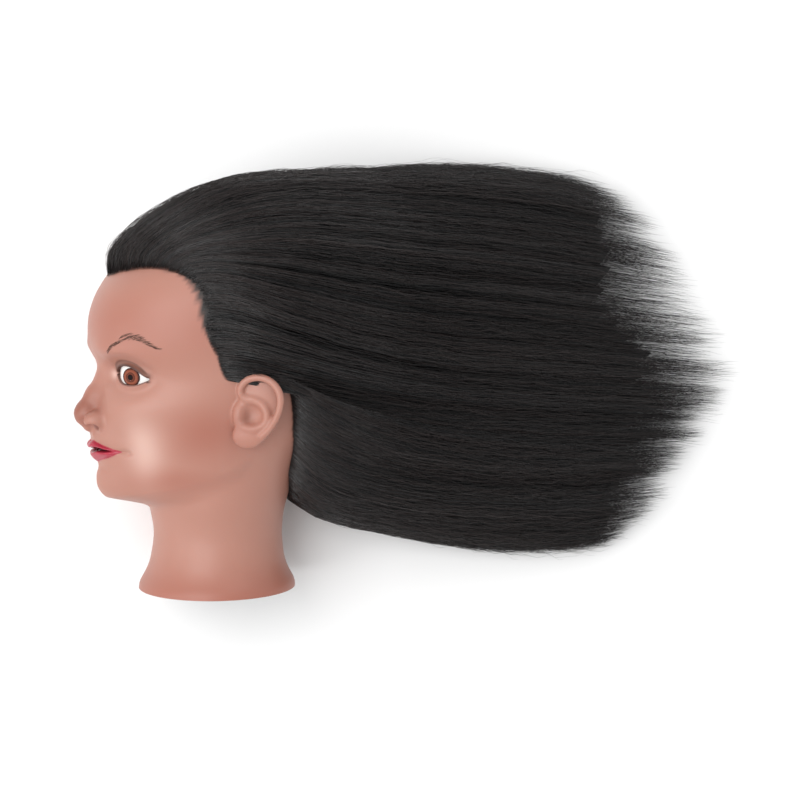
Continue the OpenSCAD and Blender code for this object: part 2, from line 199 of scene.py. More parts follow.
def barrel(p, path, k):  # round bar through (x, y, z, radius) points, joined softly
    d = None
    for a, b in zip(path[:-1], path[1:]):
        part = stick(p, a[:3], b[:3], a[3], b[3])
        d = part if d is None else softMin(d, part, k)
    return d


nose = {
    "bridge": [(-73, 0, 158, 6.2), (-78, 0, 149, 6.0), (-84, 0, 140, 6.4), (-89.3, 0, 131, 7.2)],
    "tip": ((-91.8, 0, 127.0), (7.5, 7.4, 6.8)),
    "wing": ((-84.4, 11.4, 123.2), (10.4, 5.9, 6.8)),
    "column": [(-94, 0, 123.2, 3.4), (-89.5, 0, 118.2, 3.2), (-86, 0, 115.5, 3.0)],
    "nostril": ((-89.2, 11.5, 118.6), (4.8, 5.6, 3.4)),
}


def addNose(p, field):
    q = p.copy()
    q[..., 1] = np.abs(q[..., 1])
    shape = barrel(q, nose["bridge"], 4)
    shape = softMin(shape, ellipsoid(q, *nose["tip"]), 4)
    field = softMin(field, shape, 7)
    field = softMin(field, ellipsoid(q, *nose["wing"]), 2.8)
    field = softMin(field, barrel(q, nose["column"], 1), 2.5)
    return softMax(field, -ellipsoid(q, *nose["nostril"]), 1.2)


eye = {
    "front": (-69.5, 33.5, 155.0), "gaze": 26.6, "ball": 20.0, "lid": 1.6, "half": 16.0,
    "upper": 6.9, "lower": 5.4, "fold": 3.8}


def eyeAxes(side):  # front point of an eye, and its axes: toward the outer corner, up, and outward
    a = math.radians(eye["gaze"])
    front = np.array(eye["front"]) * (1, side, 1)
    across = np.array([math.sin(a), side * math.cos(a), -0.05])
    across /= np.linalg.norm(across)
    outward = np.array([-math.cos(a), side * math.sin(a), 0])
    return front, across, np.cross(outward, across) * -side, outward


def inAxes(p, origin, axes):
    q = p - np.asarray(origin, np.float32)
    return np.stack([q @ np.asarray(axis, np.float32) for axis in axes], -1)


def lidCurves(a):  # heights of the upper and lower lid edges at distance a toward the outer corner
    t = np.clip(np.abs(a + 0.8) / eye["half"], 0, 1)
    s = np.clip(np.abs(a - 1.2) / eye["half"], 0, 1)
    return eye["upper"] * (1 - t**2.1) - 0.6, -eye["lower"] * (1 - s**2.3) - 0.6


def addEye(p, field, side):
    front, across, up, outward = eyeAxes(side)
    q = inAxes(p, front, (across, up, outward))
    a, b, n = q[..., 0], q[..., 1], q[..., 2]
    ball = np.sqrt(a**2 + b**2 + (n + eye["ball"]) ** 2) - eye["ball"]
    upper, lower = lidCurves(a)
    lid = ball - eye["lid"] - 0.5 * bell(b - upper - 1.2, 1.6) * ease((17 - np.abs(a)) / 4)
    lid = lid + 0.9 * bell(b - upper - eye["fold"], 1.0) * ease((18 - np.abs(a)) / 8)
    lens = (np.sqrt((a / 20) ** 2 + (b / 12.5) ** 2) - 1) * 12.5
    field = softMin(field, softMax(lid, lens, 4), 3.0)
    opening = np.maximum(b - upper, lower - b)
    opening = np.maximum(opening, np.abs(a) - eye["half"])
    opening = np.maximum(opening, -(ball + 2.5))
    return softMax(field, -opening, 0.7)


ear = {
    "centre": (10.5, 132.5), "stand": 24, "lean": 7,
    "helix": [
        (-8, 6, 1.0, 1.8), (-12.0, 9, 2.0, 2.1), (-12.8, 14, 2.8, 2.3), (-9.5, 19.5, 3.6, 2.4),
        (-3, 22.4, 4.6, 2.4), (4, 22.2, 5.2, 2.4), (10.4, 18.6, 5.7, 2.4), (14.3, 12.5, 5.9, 2.4),
        (15.0, 5, 5.5, 2.3), (13.2, -3, 4.8, 2.2), (9.6, -10.5, 3.8, 2.2), (5.5, -16, 2.6, 2.4)],
    "antihelix": [
        (-8.5, 7.4, 1.4, 1.6), (-3, 7.0, 2.2, 2.0), (2.5, 4.8, 2.8, 2.2), (6.2, 0.2, 3.2, 2.3),
        (6.8, -5.4, 3.0, 2.3), (3.6, -10.2, 2.6, 2.2), (-2.4, -12.4, 2.2, 2.2), (-8.0, -11.6, 1.8, 2.2)],
    "tragus": ((-12.4, -4.0, -0.4), (4.4, 7.4, 3.8)),
    "lobe": ((-5.4, -17.6, 0.4), (9.8, 8.6, 3.6)),
    "sheet": ((1.0, 1.5, 0.2), (14.4, 22.0, 3.0)),
    "root": ((-5, -1, -7), (9.5, 17, 8.5)),
    "bowl": ((-4.8, -3.4, 6.0), (10, 8.8, 6.2)),
}


def smoothPath(path, steps=4):  # the same path through more points
    places = np.arange(len(path))
    fine = np.linspace(0, len(path) - 1, (len(path) - 1) * steps + 1)
    return np.stack([through(list(zip(places, column)), fine) for column in zip(*path)], 1)


def addEar(p, field, side, pressed):  # pressed is 1 for the ear that the head lies on
    cx, cz = ear["centre"]
    surface, _ = plainHead(np.array(90.0), np.array(float(cz)))
    origin = (cx, side * (surface[1] + mix(6.8, -1.5, pressed)), cz)
    stand = math.radians(mix(ear["stand"], 3, pressed))
    lean = math.radians(ear["lean"])
    back = np.array([math.cos(stand), side * math.sin(stand), 0])
    outward = np.array([-math.sin(stand), side * math.cos(stand), 0])
    up = np.array([0, 0, 1.0]) * math.cos(lean) + back * math.sin(lean)
    back = back * math.cos(lean) - np.array([0, 0, 1.0]) * math.sin(lean)
    q = inAxes(p, origin, (back, up, outward))
    q[..., 2] /= mix(1, 0.55, pressed)
    shape = softMin(ellipsoid(q, *ear["sheet"]), ellipsoid(q, *ear["root"]), 3)
    shape = softMin(shape, ellipsoid(q, *ear["lobe"]), 4.0)
    shape = softMax(shape, -ellipsoid(q, *ear["bowl"]), 1.6)
    for bar, k in (("antihelix", 2.6), ("helix", 2.4)):
        shape = softMin(shape, barrel(q, smoothPath(ear[bar]), 0.3), k)
    shape = softMin(shape, ellipsoid(q, *ear["tragus"]), 4.0)
    return softMin(field, shape * mix(1, 0.7, pressed), mix(2.2, 1.4, pressed))


def spread(low, high, spacing):  # places from low to high whose spacing follows a function
    fine = np.linspace(low, high, 6000)
    count = np.concatenate([[0], np.cumsum(np.diff(fine) / spacing((fine[1:] + fine[:-1]) / 2))])
    return np.interp(np.linspace(0, count[-1], int(count[-1]) + 1), count, fine)


def turnSpacing(turn):  # degrees between columns: fine on the face and the ears, coarse under the hair
    off = np.abs(turn - 180)
    face = ease((62 - off) / 16)
    ears = ease((off - 66) / 8) * ease((116 - off) / 8)
    return 1 / mix(mix(1 / 2.4, 1 / 0.55, ears), 1 / 0.34, face)


def levelSpacing(z):  # mm between rows
    face = ease((z - 62) / 10) * ease((186 - z) / 14)
    return 1 / mix(1 / 2.6, 1 / 0.6, face)


def surfaceNet(points, field):  # mesh where field crosses zero, on a grid that wraps round axis 0
    field = np.concatenate([field, field[:1]], 0)
    points = np.concatenate([points, points[:1]], 0)
    inside = field < 0
    shape = np.array(field.shape) - 1
    corners = [(i, j, k) for i in (0, 1) for j in (0, 1) for k in (0, 1)]

    def corner(block, c):
        return block[c[0]:c[0] + shape[0], c[1]:c[1] + shape[1], c[2]:c[2] + shape[2]]

    filled = sum(corner(inside, c).astype(np.int8) for c in corners)
    cells = np.argwhere((filled > 0) & (filled < 8))
    total = np.zeros((len(cells), 3))
    hits = np.zeros(len(cells))
    for c in corners:
        for axis in range(3):
            if c[axis]:
                continue
            a = tuple((cells + c).T)
            step = np.array(c) + np.eye(3, dtype=int)[axis]
            b = tuple((cells + step).T)
            fa, fb = field[a], field[b]
            crossed = (fa < 0) != (fb < 0)
            t = (fa / np.where(crossed, fa - fb, 1))[:, None]
            total += np.where(crossed[:, None], points[a] + t * (points[b] - points[a]), 0)
            hits += crossed
    index = np.full(tuple(shape), -1)
    index[tuple(cells.T)] = np.arange(len(cells))
    faces = []
    for axis in range(3):
        m, n = [o for o in range(3) if o != axis]
        low = [slice(None)] * 3
        high = [slice(None)] * 3
        low[axis], high[axis] = slice(0, -1), slice(1, None)
        changed = inside[tuple(low)] != inside[tuple(high)]
        edges = np.argwhere(changed)
        wraps = (m == 0) | (edges[:, m] > 0)
        keep = wraps & (edges[:, m] < shape[m]) & (edges[:, n] > 0) & (edges[:, n] < shape[n])
        edges = edges[keep]
        ring = []
        for dm, dn in ((-1, -1), (0, -1), (0, 0), (-1, 0)):
            e = edges.copy()
            e[:, m] += dm
            e[:, n] += dn
            e[:, 0] %= shape[0]
            ring.append(index[tuple(e.T)])
        ring = np.stack(ring, 1)
        starts = inside[tuple(edges.T)]
        flip = starts if axis == 1 else ~starts
        ring[flip] = ring[flip][:, ::-1]
        faces.append(ring)
    faces = np.concatenate(faces)
    return total / hits[:, None], faces[(faces >= 0).all(1)]


def sculptHead():
    turns = spread(0, 360, turnSpacing)[:-1]
    levels = spread(0, 279.4, levelSpacing)
    layers = [np.arange(-12.3, -3, 1.0), np.arange(-2.3, 10, 0.6), np.arange(10.4, 25, 0.8)]
    layers = np.concatenate(layers)
    base, centre = plainHead(turns[:, None], levels[None, :])
    ray = np.stack([base[..., 0] - centre, base[..., 1]], -1)
    ray /= np.linalg.norm(ray, axis=-1, keepdims=True)
    ray = np.concatenate([ray, 0 * ray[..., :1]], -1)
    du = np.roll(base, -1, 0) - np.roll(base, 1, 0)
    dv = np.gradient(base, axis=1)
    normal = np.cross(du, dv)
    normal /= np.linalg.norm(normal, axis=-1, keepdims=True)
    slant = np.clip(np.abs((normal * ray).sum(-1)), 0.25, 1)
    points = (base[:, :, None] + layers[None, None, :, None] * ray[:, :, None]).astype(np.float32)
    frontal = np.clip(-ray[..., 0], 0, 1)
    relief = faceRelief(np.abs(points[..., 1]), points[..., 2]) * (frontal**0.8)[:, :, None]
    field = ((layers[None, None] - relief) * slant[:, :, None]).astype(np.float32)

    def block(turnRange, levelRange):
        cols = np.flatnonzero((turns > turnRange[0]) & (turns < turnRange[1]))
        rows = np.flatnonzero((levels > levelRange[0]) & (levels < levelRange[1]))
        return slice(cols[0], cols[-1] + 1), slice(rows[0], rows[-1] + 1)

    at = block((148, 212), (104, 176))
    field[at] = addNose(points[at], field[at])
    for side, turnRange in ((-1, (182, 250)), (1, (110, 178))):
        at = block(turnRange, (130, 182))
        field[at] = addEye(points[at], field[at], side)
    for side, turnRange, pressed in ((-1, (235, 305), 0), (1, (55, 125), 1)):
        at = block(turnRange, (90, 172))
        field[at] = addEar(points[at], field[at], side, pressed)
    print("head lattice", field.shape)
    verts, faces = surfaceNet(points, field)
    print("head mesh", len(verts), len(faces))
    return verts, faces


def meshObject(name, verts, faces, smooth=True):
    mesh = bpy.data.meshes.new(name)
    mesh.from_pydata(np.asarray(verts).tolist(), [], faces.tolist() if hasattr(faces, "tolist") else faces)
    mesh.update()
    if smooth:
        mesh.shade_smooth()
    obj = bpy.data.objects.new(name, mesh)
    bpy.context.scene.collection.objects.link(obj)
    return obj


headVerts, headFaces = sculptHead()
laid = layDown(headVerts)
laid[:, 2] = np.maximum(laid[:, 2], 0.0002)
headSkin = meshObject("head_skin_visual", laid, headFaces)
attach(headSkin, "head")
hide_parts("head_skin")


hairline = {  # turn from the back of the head in degrees
    "height": [
        (0, 64), (21, 67), (42, 82), (52, 98), (61, 113), (66, 128), (72, 146), (82, 161), (90, 163),
        (96, 154), (102, 153), (104.5, 159), (106, 168), (109.5, 179), (112, 188), (114, 199), (116, 207),
        (120, 215), (127, 222), (138, 225.5), (149, 225.5), (163, 223.5), (180, 219.5)],
    "lane": [
        (0, 1.0), (21, 0.99), (42, 0.96), (52, 0.92), (61, 0.86), (66, 0.82), (82, 0.75), (91, 0.71),
        (102, 0.67), (112, 0.58), (117, 0.50), (127, 0.38), (144, 0.17), (163, 0.04), (180, 0.0)],
}

fan = {  # the combed hair on the bench: stations of [x, y or height], lanes from 0 at the crown edge to 1
    "crownEdge": [
        (-225, 70), (-205, 97), (-190, 110), (-157, 129), (-122, 141), (-87, 149), (-17, 156), (57, 157),
        (116, 149), (160, 138), (240, 118)],
    "napeEdge": [
        (-225, -20), (-140, -48), (-98, -86), (-83, -97), (-32, -109), (20, -119), (94, -120), (131, -117),
        (170, -112), (240, -104)],
    "tip": [
        (0, 150), (0.06, 170), (0.15, 194), (0.3, 219), (0.45, 233), (0.53, 238), (0.63, 222), (0.73, 206),
        (0.85, 187), (0.95, 168), (1, 140)],
    "top": [(-60, 62), (-38, 54), (0, 45), (28, 39), (60, 32), (100, 25), (150, 17), (200, 10), (240, 4)],
}


def laneAt(lane, x):
    return mix(through(fan["crownEdge"], x), through(fan["napeEdge"], x), lane)


def fanHeight(lane, x):
    edge = np.sqrt(np.clip(1 - np.abs(2 * lane - 1) ** 3.5, 0.02, 1))
    return through(fan["top"], x) * mix(0.22, 1, edge)


def skullTable():  # distance from a point inside the skull to its surface, for every direction
    turns, levels = np.arange(0, 360, 3.0), np.concatenate([np.arange(10, 279, 3.0), [279.8]])
    net, _ = plainHead(turns[:, None], levels[None, :])
    n, m = net.shape[:2]
    quads = [(i * m + j, (i + 1) % n * m + j, (i + 1) % n * m + j + 1, i * m + j + 1)
             for i in range(n) for j in range(m - 1)]
    crown = [(i * m + m - 1, (i + 1) % n * m + m - 1, n * m) for i in range(n)]
    tree = BVHTree.FromPolygons(net.reshape(-1, 3).tolist() + [(25, 0, 280)], quads + crown)
    tilt, swing = np.radians(np.linspace(0, 180, 91)), np.radians(np.linspace(-180, 180, 181))
    table = np.zeros((91, 181))
    for i, a in enumerate(tilt):
        for j, b in enumerate(swing):
            ray = Vector((math.sin(a) * math.cos(b), math.sin(a) * math.sin(b), math.cos(a)))
            hit = tree.ray_cast(Vector(skullCentre), ray)[3]
            table[i, j] = hit or 0
    return table


skullCentre = (6, 0, 160)
skullReach = skullTable()


def skullRadius(away):  # distance from the skull centre to the skin along each vector
    length = np.maximum(np.linalg.norm(away, axis=-1), 1e-6)
    i = np.degrees(np.arccos(np.clip(away[..., 2] / length, -1, 1))) / 2
    j = (np.degrees(np.arctan2(away[..., 1], away[..., 0])) + 180) / 2
    a, b = np.minimum(i.astype(int), 89), np.minimum(j.astype(int), 179)
    s, t = i - a, j - b
    low = mix(skullReach[a, b], skullReach[a + 1, b], s)
    high = mix(skullReach[a, b + 1], skullReach[a + 1, b + 1], s)
    return mix(low, high, t)


def clearOfSkull(points, layer):  # row points pushed out of the head until they are layer above the skin
    away = standUp(points / 1000) - np.array(skullCentre)
    length = np.maximum(np.linalg.norm(away, axis=-1), 1e-6)
    reach = skullRadius(away)
    wanted = np.where(reach > 1, np.maximum(length, reach + layer), length)
    return layDown(away * (wanted / length)[..., None] + np.array(skullCentre)) * 1000


def combOut(turn, side, depth, lift=0.0, step=4.0, count=150):
    # side is -1 on the upper side of the head, depth is 0 for a hair at the bottom of the pile
    lane = through(hairline["lane"], turn)
    roots, _ = plainHead(180 - side * (180 - turn), through(hairline["height"], turn))
    at = layDown(roots) * 1000
    under = side > 0
    heading = np.stack([np.full(len(at), 0.8), 0.6 - 1.6 * ease((lane - 0.45) / 0.5)], -1)
    heading /= np.linalg.norm(heading, axis=-1, keepdims=True)
    slope = np.where(under, 0.0, 0.2)
    ahead = mix(62, 30, ease((lane - 0.7) / 0.25))
    paths = [at]
    for k in range(count):
        gone = k * step
        goal = np.stack([ahead, laneAt(lane, at[:, 0] + ahead) - at[:, 1]], -1)
        goal /= np.linalg.norm(goal, axis=-1, keepdims=True)
        heading = mix(heading, goal, 0.22)
        heading /= np.linalg.norm(heading, axis=-1, keepdims=True)
        pile = np.where(under, depth * 0.35, 0.35 + 0.65 * depth)
        rest = 0.8 + fanHeight(lane, at[:, 0]) * pile
        wish = np.clip((rest - at[:, 2]) / 50, -0.9, 0.4)
        slope = slope + np.clip(wish - slope, -0.075 * step / 4, 0.2)
        flat = step / np.sqrt(1 + slope**2)
        ahead3 = np.concatenate([heading * flat[:, None], (slope * flat)[:, None]], -1)
        new = at + ahead3
        layer = depth * (2.4 + 7.5 * (1 - np.exp(-gone / 55)))
        layer = layer * (1 - 0.75 * bell(lane - 0.70, 0.055) * ease((75 - gone) / 30))
        layer = layer + lift * bell(gone - 13, 11) + 0.35 * lift * bell(gone - 40, 30)
        new = clearOfSkull(new, layer)
        new[:, 2] = np.maximum(new[:, 2], 0.5 + 2.0 * depth)
        run = np.maximum(np.linalg.norm(new[:, :2] - at[:, :2], axis=-1), 0.5)
        slope = np.clip((new[:, 2] - at[:, 2]) / run, -1.6, 1.6)
        at = new
        paths.append(at)
    paths = np.stack(paths, 1)
    paths[..., 2] += ((depth - 0.5) * 7)[:, None] * ease(np.arange(count + 1) * step / 45 - 0.3)
    return paths, lane


def cutPaths(paths, starts, ends, count):  # from a start length to an end x, through even points
    out = np.zeros((len(paths), count, 3))
    for i, path in enumerate(paths):
        run = np.concatenate([[0], np.cumsum(np.linalg.norm(np.diff(path, axis=0), axis=-1))])
        last = np.interp(ends[i], np.maximum.accumulate(path[:, 0]), run)
        first = min(starts[i], last - 30)
        places = np.linspace(first, last, count)
        for axis in range(3):
            out[i, :, axis] = np.interp(places, run, path[:, axis])
    return out


def strandMesh(name, paths, radii, roll):  # three-sided hairs closed to a point at both ends
    n, m = paths.shape[:2]
    along = np.gradient(paths, axis=1)
    along /= np.maximum(np.linalg.norm(along, axis=-1, keepdims=True), 1e-9)
    across = np.cross(along, np.array([0.05, 0.1, 1.0]))
    across /= np.maximum(np.linalg.norm(across, axis=-1, keepdims=True), 1e-9)
    rise = np.cross(across, along)
    verts = np.zeros((n, m, 3, 3))
    for k in range(3):
        angle = roll[:, None] + k * 2 * math.pi / 3
        out = across * np.cos(angle)[..., None] + rise * np.sin(angle)[..., None]
        verts[:, :, k] = paths + out * radii[..., None]
    verts[:, 0] = paths[:, 0, None]
    verts[:, -1] = paths[:, -1, None]
    start = (np.arange(n) * m * 3)[:, None, None] + (np.arange(m - 1) * 3)[None, :, None]
    k = np.arange(3)[None, None]
    quads = np.stack([start + k, start + (k + 1) % 3, start + 3 + (k + 1) % 3, start + 3 + k], -1)
    return quadMesh(name, verts.reshape(-1, 3) / 1000, quads.reshape(-1, 4))


def quadMesh(name, verts, quads):
    mesh = bpy.data.meshes.new(name)
    mesh.vertices.add(len(verts))
    mesh.vertices.foreach_set("co", verts.astype(np.float32).ravel())
    mesh.loops.add(quads.size)
    mesh.loops.foreach_set("vertex_index", quads.astype(np.int32).ravel())
    mesh.polygons.add(len(quads))
    mesh.polygons.foreach_set("loop_start", np.arange(len(quads), dtype=np.int32) * 4)
    mesh.polygons.foreach_set("loop_total", np.full(len(quads), 4, np.int32))
    mesh.polygons.foreach_set("use_smooth", np.ones(len(quads), bool))
    mesh.update(calc_edges=True)
    obj = bpy.data.objects.new(name, mesh)
    bpy.context.scene.collection.objects.link(obj)
    return obj


def crinkle(paths, rng, tuft, size):  # waves that the hairs of a tuft share, and their own
    n, m = paths.shape[:2]
    along = np.gradient(paths, axis=1)
    along /= np.maximum(np.linalg.norm(along, axis=-1, keepdims=True), 1e-9)
    across = np.cross(along, np.array([0, 0, 1.0]))
    steps = np.linalg.norm(np.diff(paths, axis=1), axis=-1)
    run = np.concatenate([np.zeros((n, 1)), np.cumsum(steps, 1)], 1)
    grow = mix(0.5, 1.25, run / run[:, -1:]) * ease(run / 14)
    shared = np.random.default_rng(77).random((tuft.max() + 1, 6))[tuft]
    own = rng.random((n, 6))
    move = np.zeros((n, m, 2))
    for waves, weight in ((shared, 1.0), (own, 0.75)):
        for i in range(2):
            pitch = mix(26, 70, waves[:, i])[:, None]
            phase = 2 * math.pi * waves[:, i + 2][:, None]
            move[..., i] += weight * np.sin(2 * math.pi * run / pitch + phase)
            move[..., i] += weight * 0.5 * np.sin(2 * math.pi * run / pitch * 2.3 + 3 * phase)
    shift = across * move[..., :1] * (size * grow)[..., None]
    shift[..., 2] += 0.5 * move[..., 1] * (size * grow)
    return paths + shift


def growHairs(count, seed, points, side, depths, rootDepth, width, crinkleSize, tipCut, liftSize,
              spreadOut):
    rng = np.random.default_rng(seed)
    turn = np.interp(rng.random(count), hairlineRun[:, 0], hairlineRun[:, 1])
    depth = mix(depths[0], depths[1], rng.random(count))
    tufts = 46  # across the fan from crown edge to nape edge
    rootLane = through(hairline["lane"], turn)
    tuft = (rootLane * tufts + rng.normal(0, 0.35, count)).clip(0, tufts - 1).astype(int)
    tuftRng = np.random.default_rng(5 + side)
    tuftHeight = tuftRng.normal(0, 0.13, tufts)[tuft]
    tuftTip = tuftRng.random(tufts)[tuft]
    lift = liftSize * ease((turn - 112) / 34)
    paths, lane = combOut(turn, side, np.clip(depth + tuftHeight, 0.04, 1.2), lift)
    reach = np.interp(lane, *np.array(fan["tip"]).T)
    short = tipCut * rng.random(count) ** 1.1 * mix(0.6, 1.3, tuftTip) + 0.1 * tuftTip
    ends = mix(reach, 20, np.clip(short, 0, 0.95))
    starts = rootDepth * rng.random(count) ** 2
    hairs = cutPaths(paths, starts, ends, points)
    hairs = crinkle(hairs, rng, tuft, crinkleSize)
    t = np.linspace(0, 1, points)[None]
    centre = (tuft + 0.5) / tufts
    gather = (centre - rootLane) * 135  # half of the fan's width in mm
    hairs[..., 1] -= gather[:, None] * ease((hairs[..., 0] - 90) / 130)
    curl = rng.uniform(0, 2 * math.pi, (count, 1)) + t * rng.uniform(24, 44, (count, 1))
    hairs[..., 1] += crinkleSize * 2.2 * t**2 * np.sin(curl)
    hairs[..., 1] += rng.normal(0, spreadOut, (count, 1)) * t**3
    hairs[..., 2] += np.abs(rng.normal(0, spreadOut / 3, (count, 1))) * t**2
    high = np.maximum(hairs[..., 2] - 150, 0)  # pressed down over the top of the head
    hairs[..., 2] += 20 * (1 - np.exp(-high / 20)) - high
    hairs[..., 2] = np.maximum(hairs[..., 2], 0.5)
    radii = width / 2 * mix(0.75, 1.25, rng.random((count, 1))) * (1 - 0.62 * t**2)
    return hairs, radii, rng.random(count) * 2 * math.pi


hairlineTurns = np.linspace(0, 180, 400)
hairlinePoints, _ = plainHead(hairlineTurns, through(hairline["height"], hairlineTurns))
hairlineSteps = np.linalg.norm(np.diff(hairlinePoints, axis=0), axis=-1)
hairlineSteps = hairlineSteps * mix(1, 1.6, ease((hairlineTurns[1:] - 110) / 30))
hairlineLength = np.concatenate([[0], np.cumsum(hairlineSteps)])
hairlineRun = np.stack([hairlineLength / hairlineLength[-1], hairlineTurns], 1)


def hairBody(name, upperDepth, underDepth, shrink):  # closed, grooved along the hairs
    rng = np.random.default_rng(3)
    around, rows = 260, 96
    place = np.concatenate([np.linspace(1, 0, around), np.linspace(0, 1, around)[1:-1]])
    turn = np.interp(place, hairlineRun[:, 0], hairlineRun[:, 1])
    side = np.concatenate([np.full(around, -1), np.full(around - 2, 1)])
    blur = np.convolve(rng.normal(0, 1, len(turn) + 8), np.ones(5) / 5, "same")[4:-4]
    fine = rng.normal(0, 1, len(turn))
    depth = np.where(side < 0, upperDepth, underDepth) + 0.08 * blur + 0.03 * fine
    paths, lane = combOut(turn, side, np.clip(depth, 0.03, 1))
    reach = np.interp(lane, *np.array(fan["tip"]).T)
    ends = mix(reach, 40, shrink + 0.12 * blur + 0.05 * fine + 0.14 * ease((0.52 - lane) / 0.15))
    body = cutPaths(paths, np.full(len(turn), 2.5), ends, rows)
    sink = (1.2 + 2.6 * ease((np.arange(rows) - 2) / 8))[None] * np.where(side < 0, 1, 0.2)[:, None]
    body[..., 2] = np.maximum(body[..., 2] - sink, 0.7)
    n = len(turn)
    inSkull = layDown(np.array([[10, 0, 150.0]])) * 1000
    verts = np.concatenate([body.reshape(-1, 3), inSkull, [[70, 0, 8]]])
    a = np.arange(n)[:, None] * rows + np.arange(rows - 1)[None]
    b = (np.arange(n)[:, None] + 1) % n * rows + np.arange(rows - 1)[None]
    quads = np.stack([a, b, b + 1, a + 1], -1).reshape(-1, 4)
    caps = [(n * rows, (i + 1) % n * rows, i * rows) for i in range(n)]
    caps += [(n * rows + 1, i * rows + rows - 1, (i + 1) % n * rows + rows - 1) for i in range(n)]
    return meshObject(name, verts / 1000, quads.tolist() + caps)


def shaderGroup(name, inputs, outputs, build):
    group = bpy.data.node_groups.new(name, "ShaderNodeTree")
    for label, kind, value in inputs:
        socket = group.interface.new_socket(label, in_out="INPUT", socket_type=kind)
        if value is not None:
            socket.default_value = value
    for label, kind in outputs:
        group.interface.new_socket(label, in_out="OUTPUT", socket_type=kind)
    inlet = group.nodes.new("NodeGroupInput")
    outlet = group.nodes.new("NodeGroupOutput")
    build(group.nodes, group.links, inlet, outlet)
    return group


def noiseNode(nodes, links, scale, detail, vector=None):
    noise = nodes.new("ShaderNodeTexNoise")
    noise.inputs["Detail"].default_value = detail
    if hasattr(scale, "links"):
        links.new(scale, noise.inputs["Scale"])
    else:
        noise.inputs["Scale"].default_value = scale
    if vector is not None:
        links.new(vector, noise.inputs["Vector"])
    return noise


def mixColor(nodes, links, factor, a, b):
    node = nodes.new("ShaderNodeMix")
    node.data_type = "RGBA"
    for value, socket in ((factor, node.inputs[0]), (a, node.inputs[6]), (b, node.inputs[7])):
        if hasattr(value, "links"):
            links.new(value, socket)
        else:
            socket.default_value = value
    return node.outputs[2]


def buildSurface(nodes, links, inlet, outlet):
    where = nodes.new("ShaderNodeTexCoord").outputs["Object"]
    cloud = noiseNode(nodes, links, inlet.outputs["Scale"], 3, where)
    grainScale = nodes.new("ShaderNodeMath")
    grainScale.operation = "MULTIPLY"
    links.new(inlet.outputs["Scale"], grainScale.inputs[0])
    grainScale.inputs[1].default_value = 14
    grain = noiseNode(nodes, links, grainScale.outputs[0], 2, where)
    tone = mixColor(nodes, links, cloud.outputs["Fac"], inlet.outputs["Color"], inlet.outputs["Second"])
    links.new(tone, outlet.inputs["Color"])
    rough = nodes.new("ShaderNodeMapRange")
    links.new(grain.outputs["Fac"], rough.inputs["Value"])
    rough.inputs["From Min"].default_value = 0.3
    rough.inputs["From Max"].default_value = 0.7
    duller = nodes.new("ShaderNodeMath")
    links.new(inlet.outputs["Roughness"], duller.inputs[0])
    duller.inputs[1].default_value = 0.12
    links.new(inlet.outputs["Roughness"], rough.inputs["To Min"])
    links.new(duller.outputs[0], rough.inputs["To Max"])
    links.new(rough.outputs["Result"], outlet.inputs["Roughness"])
    bump = nodes.new("ShaderNodeBump")
    links.new(inlet.outputs["Bump"], bump.inputs["Strength"])
    bump.inputs["Distance"].default_value = 0.0003
    links.new(grain.outputs["Fac"], bump.inputs["Height"])
    links.new(bump.outputs["Normal"], outlet.inputs["Normal"])


surfaceGroup = shaderGroup(
    "grainy surface",
    [("Color", "NodeSocketColor", (0.5, 0.5, 0.5, 1)), ("Second", "NodeSocketColor", (0.4, 0.4, 0.4, 1)),
     ("Scale", "NodeSocketFloat", 60.0), ("Roughness", "NodeSocketFloat", 0.5),
     ("Bump", "NodeSocketFloat", 0.3)],
    [("Color", "NodeSocketColor"), ("Roughness", "NodeSocketFloat"), ("Normal", "NodeSocketVector")],
    buildSurface)


def surfaceMaterial(name, color, second, scale, roughness, bump, metallic=0.0):
    mat = bpy.data.materials.new(name)
    mat.use_nodes = True
    nodes, links = mat.node_tree.nodes, mat.node_tree.links
    group = nodes.new("ShaderNodeGroup")
    group.node_tree = surfaceGroup
    group.inputs["Color"].default_value = (*color, 1)
    group.inputs["Second"].default_value = (*second, 1)
    group.inputs["Scale"].default_value = scale
    group.inputs["Roughness"].default_value = roughness
    group.inputs["Bump"].default_value = bump
    principled = nodes["Principled BSDF"]
    links.new(group.outputs["Color"], principled.inputs["Base Color"])
    links.new(group.outputs["Roughness"], principled.inputs["Roughness"])
    links.new(group.outputs["Normal"], principled.inputs["Normal"])
    principled.inputs["Metallic"].default_value = metallic
    return mat


finishes = {  # node: material name, two colours, grain scale, roughness, bump, metallic
    "foam_core": ("yellowed foam", (0.62, 0.52, 0.33), (0.55, 0.45, 0.27), 90, 0.85, 0.9),
    "root_backing": ("brown latex", (0.10, 0.06, 0.05), (0.07, 0.045, 0.04), 70, 0.7, 0.5),
    "neck_core": ("grey moulded core", (0.32, 0.31, 0.30), (0.28, 0.27, 0.26), 50, 0.55, 0.35),
    "clamp_sleeve": ("white sleeve plastic", (0.72, 0.71, 0.68), (0.66, 0.65, 0.62), 60, 0.38, 0.2),
    "base_cap": ("black base plastic", (0.045, 0.044, 0.043), (0.03, 0.03, 0.03), 80, 0.42, 0.35),
    "base_screws": ("zinc plated steel", (0.62, 0.61, 0.58), (0.52, 0.51, 0.49), 300, 0.3, 0.2, 1.0),
}
for name, finish in finishes.items():
    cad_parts[name].data.materials.clear()
    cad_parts[name].data.materials.append(surfaceMaterial(*finish))
print("core pieces", len(finishes))


